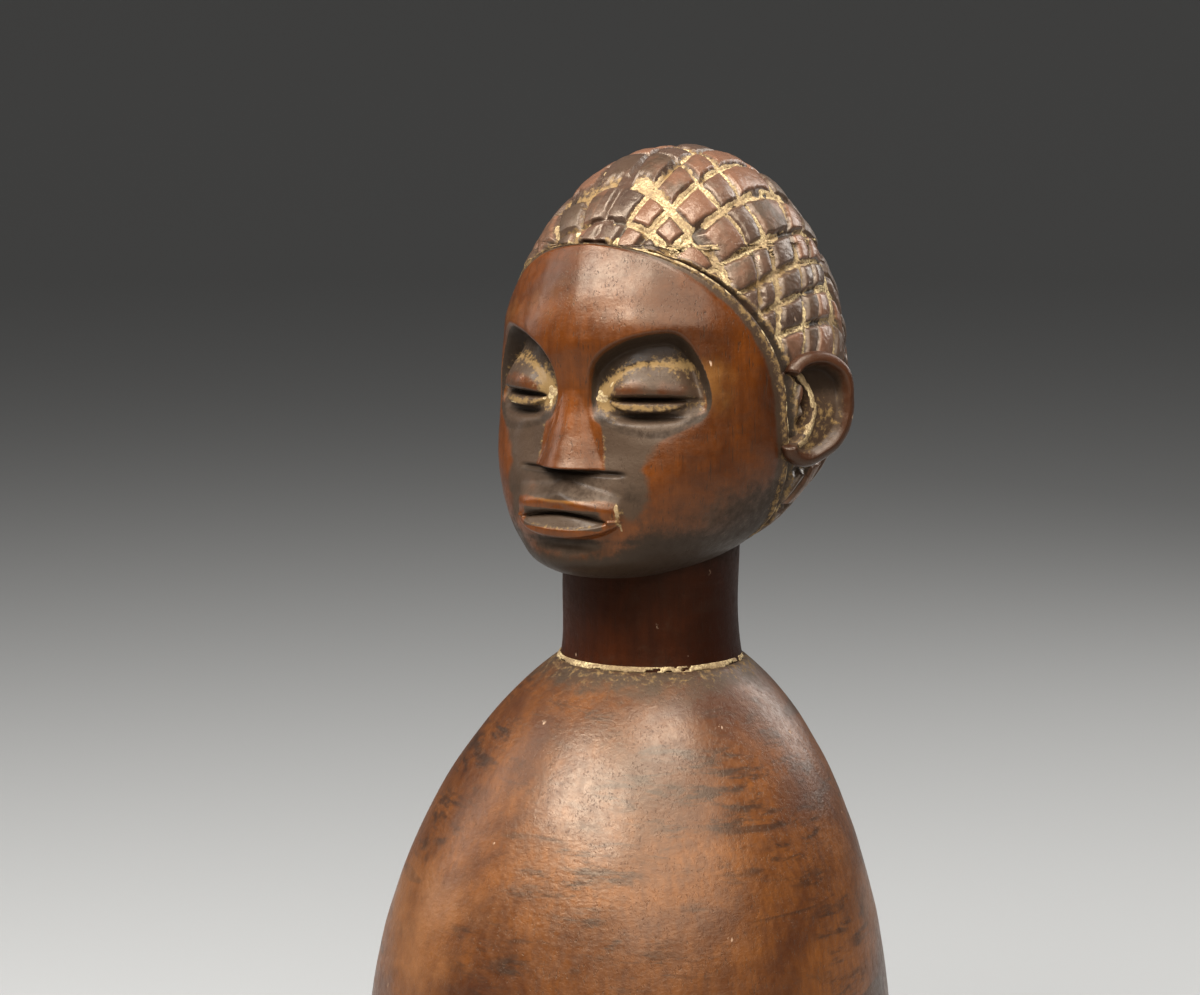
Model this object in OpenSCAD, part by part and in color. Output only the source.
// Carved wooden doll: an armless bell-shaped body, a round neck and a head with a
// cap of hair cut in squares. It is one block of hardwood, held here as its carved
// zones, which meet face to face, with the pale clay that is packed in the cuts.
// The face looks along -Y and the body stands on its flat base at z = 0.

/* [Body] */
// Height of the body, from the base to the seat of the neck
body_h = 191; // [180:1:200]
// Widest radius of the body
belly_r = 72.3; // [66:0.1:78]
// Height of the widest ring
belly_z = 84; // [70:1:95]
// Radius of the flat base
base_r = 58; // [48:1:64]
// How far the shoulder dome would run past the seat of the neck
dome_over = 10.4; // [9:0.1:14]
// Fullness of the shoulder dome, where 2 is an ellipse
dome_power = 1.84; // [1.7:0.01:2.2]

/* [Neck] */
// Radius of the neck half way up
neck_r = 24.2; // [21:0.1:27]
// How much wider the neck is at its foot
neck_flare = 1.1; // [0:0.1:1.5]
// How far the neck stands behind the middle of the belly
neck_back = 11; // [6:0.5:12]

/* [Head] */
// Half width of the head at its widest
head_side = 45.7; // [42:0.1:50]
// Depth of the head in front of its middle
head_front = 57; // [52:0.5:60]
// Depth of the head behind its middle
head_rear = 50.5; // [46:0.5:56]
// Height of the head above its widest ring
head_up = 65.5; // [60:0.5:70]
// Height of the head below its widest ring
head_down = 50; // [46:0.5:54]
// Height of the widest ring of the head
head_z = 266; // [262:1:270]
// How far the middle of the head is behind the neck
head_back = 14.7; // [12:0.1:18]
// How far the chin leans forward of the middle of the head
chin_lean = 28.7; // [24:0.1:32]

/* [Face] */
// Height of the slit between the eyelids
eye_z = 264.5; // [262:0.5:267]
// Distance of each eye from the middle of the face
eye_x = 21.5; // [19:0.5:24]
// Depth of the eye sockets
socket_d = 4.2; // [2:0.1:5]
// Height of the nose's lower edge
nose_z = 247; // [245:0.5:249]
// How far the nose stands out
nose_d = 6; // [4:0.5:8]
// Height of the opening between the lips
mouth_z = 235; // [233:0.5:237]
// How far the lips stand out
lip_d = 3.6; // [2:0.1:5]

/* [Hair] */
// Height of the hairline over the forehead
hairline_z = 306; // [300:1:310]
// Width of the groove along the hairline
groove_w = 3; // [2:0.1:4]
// Depth of the groove along the hairline
groove_d = 1.8; // [1:0.1:2.5]

/* [Ears] */
// Height of the middle of the ear
ear_z = 261; // [257:1:265]
// Half height of the ear
ear_h = 15.5; // [13:0.5:18]
// Half depth of the ear, from front to back
ear_d = 11; // [9:0.5:13]
// How far the ear stands out from the head
ear_out = 6.5; // [4:0.5:8]

/* [Hidden] */

wood_red = [0.50, 0.24, 0.12];
wood_brown = [0.42, 0.20, 0.10];
wood_dark = [0.24, 0.15, 0.11];
clay_cream = [0.80, 0.66, 0.42];

// How finely the lofts are cut
body_sides = 60;
body_rings = 30;
front_n = 44;
chord_n = 12;
hair_n = 40;
low_n = 5;
mid_n = 32;
top_n = 12;
// How much the middle rings crowd towards the forehead
mid_crowd = 1.45;

// Where the hairline turns: at the nape, beside the ear, and how it runs between them
nape_z = 226;
ear_line_z = 262;
nape_y = 6;
hairline_reach = 31;
hairline_power = 1.7;
hairline_round = 0.75;
// The farthest forward that the hairline runs, as a share of the head's depth in front
hairline_limit = 0.994;
degrees = 180 / PI;

// Height of the whole shoulder dome above the widest ring
dome_h = body_h + dome_over - belly_z;
// Fullness of the rings over the crown and under the cheeks, where 2 is an ellipse
crown_power = 2;
jaw_power = 2.63;
// How much the jaw narrows at the sides, and the back of the head under its widest ring
jaw_narrow = 0.13;
nape_narrow = 0.22;
// How the body tapers to its foot, and how its middle drifts back to the neck
foot_power = 2.2;
drift_power = 1.7;
// Share of the body's rings that are evenly spaced; the rest crowd towards the shoulder
even_share = 0.65;
// Heights above the shoulder where the neck's flare is nearly gone and quite gone
flare_low = 6;
flare_end = 16;
flare_left = 0.3;
neck_bury = 6;
under_bury = 12;
// Width and height of the clay at the foot of the neck
ring_w = 0.9;
ring_h = 1;
ring_sink = 0.08;

// Middle, half width and half height of the forms of the face
socket_w = 15;
socket_h = 9.5;
socket_rise = 3;
brow_d = 1.6;
brow_w = 14;
brow_h = 6;
brow_rise = 18;
muzzle_d = 2.2;
muzzle_w = 17;
muzzle_h = 8;
chin_d = 1.2;
chin_w = 14;
chin_h = 5;
chin_z = 222;
// The nose's upper end, its height there as a share of nose_d, and how fast its sides fall
nose_top = 272;
nose_start = 0.4;
nose_half = 13;
nose_side = 0.15;
nose_cols = 4;
// The lips: height, half width, columns of the face that they cover, and the lower one's share
lip_h = 7;
lip_half = 22;
lip_cols = 6;
lower_share = 0.8;
// The eyelids: reach below and above the slit, first and last column, and the bulge
lid_low = 4;
lid_high = 8;
lid_first = 5;
lid_last = 16;
lid_d = 1;
lid_bulge = 1.8;
lid_w = 13;
lid_h = 7;
lid_rise = 1.5;
// How much the parts of the face fan out to the sides as they rise
fan = 1 / 60;

// The hollow of the ear: its middle and its size as shares of the ear's
ear_y = neck_back + 14;
dish_out = 0.95;
dish_front = 0.55;
dish_drop = 1;
dish_x = 0.75;
dish_y = 0.85;
dish_z = 0.62;
head_y = neck_back + head_back;
head_top = head_z + head_up;
// How far the last ring stays below the very top of the head
tip_gap = 0.4;
// How much of the hairline groove the clay fills, and how thick it lies in the ear
clay_fill = 0.55;
clay_coat = 0.8;

// ---- Head surface: rings round a vertical line, one at each height z ----
function band(z) = z > head_z ? (z - head_z) / head_up : (head_z - z) / head_down;
function low(z) = z > head_z ? 0 : band(z) * band(z);
function ring_size(z) = let (m = z > head_z ? crown_power : jaw_power) pow(max(0, 1 - pow(band(z), m)), 1 / m);
function ring_y(z) = head_y - chin_lean * low(z);
function side_r(z) = head_side * ring_size(z) * (1 - jaw_narrow * low(z));
function front_r(z) = head_front * ring_size(z);
function rear_r(z) = head_rear * ring_size(z) * (1 - nape_narrow * low(z));

// A bump of height 1 at 0 that dies away past 1
function bump(t) = exp(-t * t);

// How far the carved face stands out of the plain head, for a place x across and z up
function relief(x, z) =
    let (
        across = (abs(x) - eye_x) / socket_w,
        up = (z - eye_z - socket_rise) / socket_h,
        socket = -socket_d * exp(-pow(across * across + up * up, 2)),
        brow = brow_d * bump((abs(x) - eye_x) / brow_w) * bump((z - eye_z - brow_rise) / brow_h),
        muzzle = muzzle_d * bump(x / muzzle_w) * bump((z - mouth_z) / muzzle_h),
        chin = chin_d * bump(x / chin_w) * bump((z - chin_z) / chin_h)
    )
    socket + brow + muzzle + chin;

// A point of the plain head, a degrees round from straight ahead, and one of the carved face
function head_point(a, z) =
    [side_r(z) * sin(a), ring_y(z) - (abs(a) < 90 ? front_r(z) : rear_r(z)) * cos(a), z];
function outward(a) = [sin(a), -cos(a), 0];
function face_point(a, z) = head_point(a, z) + relief(side_r(z) * sin(a), z) * outward(a);

// ---- Hairline: how far back it runs at height z, and its angle round the ring there ----
function hairline_y(z) =
    let (up = max(0, (z - ear_line_z) / (hairline_z - ear_line_z)))
    z > ear_line_z
        ? neck_back - hairline_reach * (1 - pow(max(0, 1 - pow(up, hairline_power)), hairline_round))
        : neck_back + nape_y * (ear_line_z - z) / (ear_line_z - nape_z);
function hairline_angle(z) =
    let (back = hairline_y(z) - ring_y(z))
    back > 0 ? 90 + asin(min(1, back / rear_r(z))) : acos(min(hairline_limit, -back / front_r(z)));
function groove_angle(z) = min(groove_w / 2 / side_r(z) * degrees, hairline_angle(z) / 3);

// Heights of the rings: under the nape line, beside the hairline, and over it
low_z = [for (i = [1:low_n]) head_z - head_down + (nape_z - head_z + head_down) * pow(i / low_n, 2)];
mid_z = [for (i = [0:mid_n]) nape_z + (hairline_z - nape_z) * (1 - pow(1 - i / mid_n, mid_crowd))];
top_z = [for (i = [1:top_n]) hairline_z + (head_top - tip_gap - hairline_z) * sin(90 * i / top_n)];

// The bottom of the groove at angle a, shared by the face and the hair
function groove_point(a, z) = head_point(a, z) - groove_d * outward(a);

// Front of one ring, from the right hairline to the left, dropped into the groove at both ends
function front_arc(z) =
    let (a = hairline_angle(z), b = a - groove_angle(z))
    [groove_point(-a, z), for (j = [1:front_n - 1]) face_point(b * (2 * (j - 1) / (front_n - 2) - 1), z),
        groove_point(a, z)];

// Straight line across a ring between the two bottoms of the groove, without its ends
function chord(z) =
    let (left = groove_point(hairline_angle(z), z))
    [for (j = [1:chord_n - 1]) [left[0] * (1 - 2 * j / chord_n), left[1], z]];

// Round part of a ring from angle a to angle b, in n steps, with both ends
function head_arc(a, b, n, z) = [for (j = [0:n]) head_point(turned(a + (b - a) * j / n), z)];
function turned(a) = a > 180 ? a - 360 : a;

function backwards(list) = [for (i = [len(list) - 1:-1:0]) list[i]];
function middle(list) = [for (i = [1:len(list) - 2]) list[i]];
function mean(ring) = [for (k = [0:2]) [for (p = ring) p[k]] * [for (p = ring) 1] / len(ring)];

// Closes a stack of rings, each going round the same way, into one solid
module loft(rings) {
    n = len(rings[0]);
    m = len(rings);
    sides = [for (i = [0:m - 2], j = [0:n - 1])
        each [[i * n + j, (i + 1) * n + (j + 1) % n, i * n + (j + 1) % n],
            [i * n + j, (i + 1) * n + j, (i + 1) * n + (j + 1) % n]]];
    caps = [for (j = [0:n - 1])
        each [[(j + 1) % n, m * n, j], [(m - 1) * n + j, m * n + 1, (m - 1) * n + (j + 1) % n]]];
    points = [for (ring = rings) each ring];
    polyhedron(points = concat(points, [mean(rings[0]), mean(rings[m - 1])]), faces = concat(sides, caps));
}

// ---- Body and neck ----
function body_r(z) = z > belly_z
    ? belly_r * pow(1 - pow((z - belly_z) / dome_h, dome_power), 1 / dome_power)
    : belly_r - (belly_r - base_r) * pow((belly_z - z) / belly_z, foot_power);
function body_y(z) = z > belly_z ? neck_back * pow((z - belly_z) / (body_h - belly_z), drift_power) : 0;
function body_level(t) = body_h * (even_share * t + (1 - even_share) * (1 - cos(90 * t)));

module body() {
    color(wood_red)
    loft([for (i = [0:body_rings])
        let (z = body_level(i / body_rings))
        [for (j = [0:body_sides - 1])
            let (a = 360 * j / body_sides)
            [body_r(z) * cos(a), body_y(z) + body_r(z) * sin(a), z]]]);
}

// A round column that ends on the underside of the head
module neck() {
    color(wood_brown)
    difference() {
        translate([0, neck_back, body_h])
        rotate_extrude($fn = 96)
        polygon([[0, 0], [neck_r + neck_flare, 0], [neck_r + neck_flare * flare_left, flare_low],
            [neck_r, flare_end], [neck_r, nape_z + neck_bury - body_h], [0, nape_z + neck_bury - body_h]]);
        underside();
    }
}

// A ring of clay in the corner between the neck and the shoulder
module neck_clay() {
    color(clay_cream)
    translate([0, neck_back, body_h])
    rotate_extrude($fn = 96)
    polygon([[neck_r + neck_flare, 0], [neck_r + neck_flare + ring_w, 0],
        [neck_r + neck_flare - ring_sink, ring_h]]);
}

// ---- Face and the parts carved on it ----
chin_a = hairline_angle(nape_z);
function whole_ring(z) = concat([for (j = [0:front_n]) face_point(chin_a * (2 * j / front_n - 1), z)],
    middle(head_arc(chin_a, 360 - chin_a, chord_n, z)));

// The lowest part of the head, all round
module underside() {
    loft([for (z = concat(low_z, [nape_z + under_bury])) whole_ring(z)]);
}

module face() {
    color(wood_red)
    loft(concat([for (z = low_z) whole_ring(z)], [for (z = mid_z) concat(front_arc(z), chord(z))]));
}

function row_at(z) = [for (i = [0:mid_n]) if (mid_z[i] >= z) i][0];

// A pillow on the face between two heights and two columns; up(x, z) is its height
module on_face(z0, z1, j0, j1, up) {
    rows = row_at(z1) - row_at(z0);
    cols = j1 - j0;
    base = [for (i = [0:rows]) let (arc = front_arc(mid_z[row_at(z0) + i])) [for (j = [0:cols]) arc[j0 + j]]];
    raised = [for (i = [0:rows]) [for (j = [0:cols])
        let (p = base[i][j], rim = i == 0 || j == 0 || i == rows || j == cols)
        p + (rim ? 0 : up(p[0], p[2])) * [p[0] * fan, -1, 0]]];
    n = cols + 1;
    function over(i, j) = i * n + j;
    function under(i, j) = i == 0 || j == 0 || i == rows || j == cols ? over(i, j)
        : (rows + 1) * n + (i - 1) * (cols - 1) + j - 1;
    points = concat([for (row = raised) each row],
        [for (i = [1:rows - 1]) for (j = [1:cols - 1]) base[i][j]]);
    // Each cell is cut along the diagonal that points at the middle, so no triangle lies flat on the rim
    cells = [for (i = [0:rows - 1], j = [0:cols - 1])
        (i < rows / 2) == (j < cols / 2)
            ? [[i, j], [i + 1, j], [i + 1, j + 1], [i, j + 1]]
            : [[i, j + 1], [i, j], [i + 1, j], [i + 1, j + 1]]];
    polyhedron(points = points, faces = [for (c = cells)
        each [
            [for (k = [0, 1, 2]) over(c[k][0], c[k][1])],
            [for (k = [0, 2, 3]) over(c[k][0], c[k][1])],
            [for (k = [0, 2, 1]) under(c[k][0], c[k][1])],
            [for (k = [0, 3, 2]) under(c[k][0], c[k][1])]]]);
}

middle_j = front_n / 2;

module nose() {
    color(wood_red)
    on_face(nose_z, nose_top, middle_j - nose_cols, middle_j + nose_cols,
        function(x, z) nose_d * (nose_start + (1 - nose_start) * (nose_top - z) / (nose_top - nose_z))
            * max(nose_side, 1 - abs(x) / nose_half));
}

module upper_lip() {
    color(wood_red)
    on_face(mouth_z, mouth_z + lip_h, middle_j - lip_cols, middle_j + lip_cols,
        function(x, z) lip_d * (1 - pow(x / lip_half, 2)));
}

module lower_lip() {
    color(wood_red)
    on_face(mouth_z - lip_h, mouth_z, middle_j - lip_cols, middle_j + lip_cols,
        function(x, z) lower_share * lip_d * (1 - pow(x / lip_half, 2)));
}

module eye(first, last) {
    color(wood_dark)
    on_face(eye_z - lid_low, eye_z + lid_high, first, last,
        function(x, z)
            lid_d + lid_bulge * bump((abs(x) - eye_x) / lid_w) * bump((z - eye_z - lid_rise) / lid_h));
}

module left_eye() {
    eye(middle_j + lid_first, middle_j + lid_last);
}

module right_eye() {
    eye(middle_j - lid_last, middle_j - lid_first);
}

// ---- Hair ----
module hair_cap() {
    color(wood_dark)
    loft(concat(
        [for (z = mid_z)
            let (a = hairline_angle(z), b = a + groove_angle(z))
            concat([groove_point(-a, z)], backwards(chord(z)), [groove_point(a, z)],
                head_arc(b, 360 - b, hair_n, z))],
        [for (z = concat([hairline_z], top_z))
            let (a = hairline_angle(hairline_z), b = a + groove_angle(hairline_z))
            concat(head_arc(-a, a, chord_n, z), head_arc(b, 360 - b, hair_n, z))]));
}

// Clay along the bottom of the groove, on one side of the head
module clay_strip(side) {
    loft([for (z = mid_z)
        let (
            a = side * hairline_angle(z),
            g = side * groove_angle(z),
            foot = groove_point(a, z),
            fore = face_point(a - g, z),
            aft = head_point(a + g, z),
            ring = [foot, foot + clay_fill * (aft - foot), foot + clay_fill * (fore - foot)]
        )
        side > 0 ? backwards(ring) : ring]);
}

module hairline_clay() {
    color(clay_cream) {
        clay_strip(1);
        clay_strip(-1);
    }
}

// ---- Ears ----
// An ellipsoid with half sizes x, y and z
module egg(x, y, z, grow = 0) {
    scale([x + grow, y + grow, z + grow])
    sphere(r = 1, $fn = 48);
}

// The hollow of the ear, made smaller all round by the coat
module ear_dish(coat = 0) {
    translate([head_side + ear_out * dish_out, ear_y - ear_d * dish_front, ear_z - dish_drop])
    egg(ear_out * dish_x, ear_d * dish_y, ear_h * dish_z, -coat);
}

module ear_solid() {
    translate([head_side, ear_y, ear_z])
    egg(ear_out, ear_d, ear_h);
}

// The head, which cuts the ear off where it grows out of it
module head_hole() {
    face();
    hair_cap();
}

module ear(side) {
    color(wood_brown)
    mirror([side < 0 ? 1 : 0, 0, 0])
    difference() {
        ear_solid();
        ear_dish();
        head_hole();
    }
}

module ear_clay(side) {
    color(clay_cream)
    mirror([side < 0 ? 1 : 0, 0, 0])
    difference() {
        intersection() {
            ear_solid();
            ear_dish();
        }
        ear_dish(clay_coat);
        head_hole();
    }
}

module left_ear() {
    ear(1);
}

module right_ear() {
    ear(-1);
}

module left_ear_clay() {
    ear_clay(1);
}

module right_ear_clay() {
    ear_clay(-1);
}

body();
neck();
face();
nose();
upper_lip();
lower_lip();
left_eye();
right_eye();
hair_cap();
left_ear();
right_ear();
neck_clay();
hairline_clay();
left_ear_clay();
right_ear_clay();
